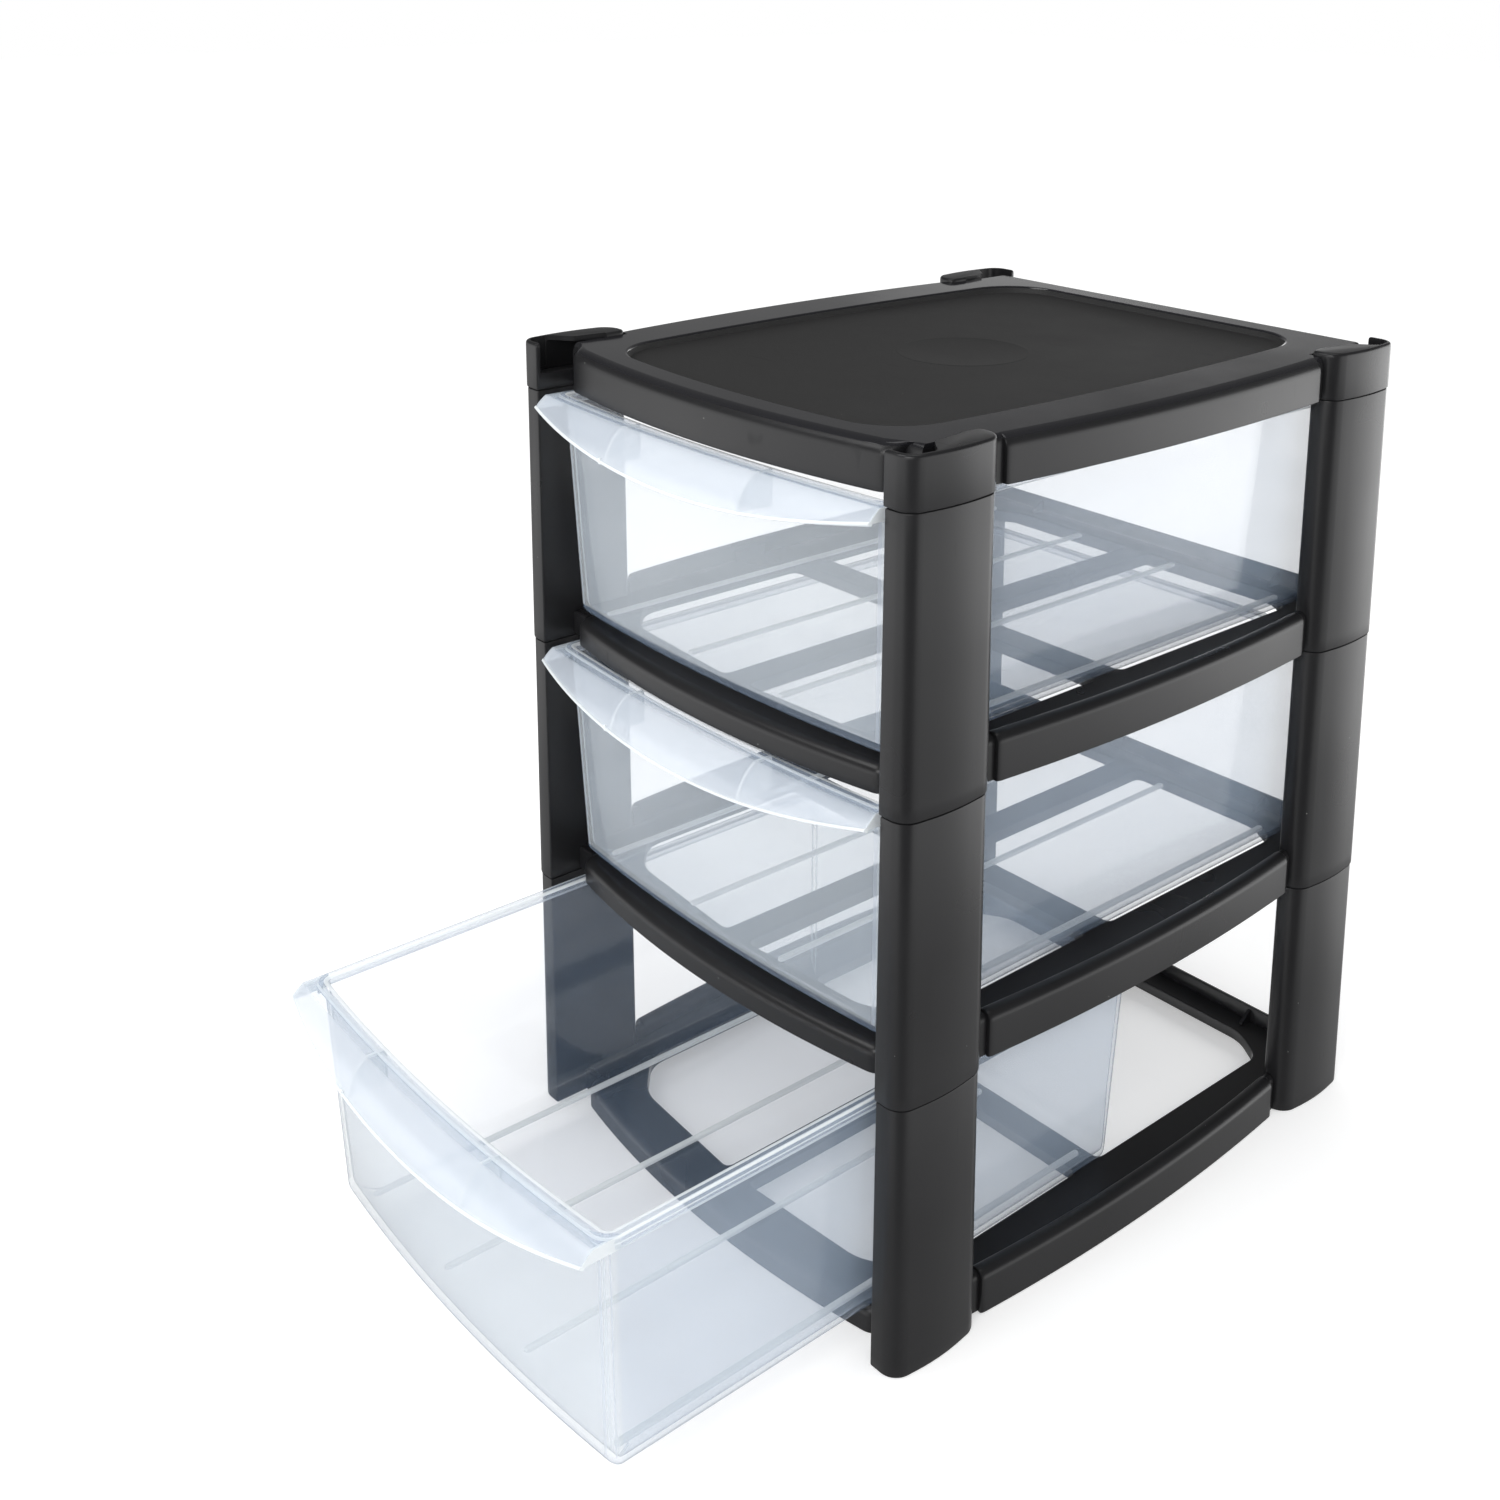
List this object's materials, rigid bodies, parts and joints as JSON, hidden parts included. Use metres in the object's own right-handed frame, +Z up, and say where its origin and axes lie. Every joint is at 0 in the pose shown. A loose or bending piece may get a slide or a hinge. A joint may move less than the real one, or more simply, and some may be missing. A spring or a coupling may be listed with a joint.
{
  "type": "plastic drawer tower",
  "caption": "desktop storage tower of plug-together black posts, bow-fronted open shelf frames and a lid with a sunken panel, with clear sliding drawers that have curled full-width handles",
  "frame": {"origin": "the middle of the base of the whole tower's box, with the lower drawer pulled out as it stands at rest", "axes": "+X to the right seen from the front, +Y to the rear (the drawers open towards -Y), +Z up"},
  "size_m": [0.277, 0.4832, 0.4065],
  "materials": {
    "black_frame": "satin black moulded plastic",
    "black_lid": "black moulded plastic, glossy rim and fine matt texture on the panel",
    "clear_drawer": "clear moulded plastic with a slight blue tint"
  },
  "bodies": {
    "tower": {"top_cover": "black_lid", "cap_front_left": "black_frame", "cap_front_right": "black_frame", "cap_rear_left": "black_frame", "cap_rear_right": "black_frame", "shelf_frame_upper": "black_frame", "shelf_frame_middle": "black_frame", "shelf_frame_lower": "black_frame", "post_front_left_upper": "black_frame", "post_front_right_upper": "black_frame", "post_rear_left_upper": "black_frame", "post_rear_right_upper": "black_frame", "post_front_left_middle": "black_frame", "post_front_right_middle": "black_frame", "post_rear_left_middle": "black_frame", "post_rear_right_middle": "black_frame", "post_front_left_lower": "black_frame", "post_front_right_lower": "black_frame", "post_rear_left_lower": "black_frame", "post_rear_right_lower": "black_frame"},
    "upper_drawer": {"drawer_upper": "clear_drawer"},
    "middle_drawer": {"drawer_middle": "clear_drawer"},
    "lower_drawer": {"drawer_lower": "clear_drawer"}
  },
  "joints": [
    {"name": "upper_drawer_slide", "type": "slide", "parent": "tower", "child": "upper_drawer", "axis": [0, -1, 0], "range_m": [0, 0.24]},
    {"name": "middle_drawer_slide", "type": "slide", "parent": "tower", "child": "middle_drawer", "axis": [0, -1, 0], "range_m": [0, 0.24]},
    {"name": "lower_drawer_slide", "type": "slide", "parent": "tower", "child": "lower_drawer", "axis": [0, -1, 0], "range_m": [-0.138, 0.102]}
  ]
}
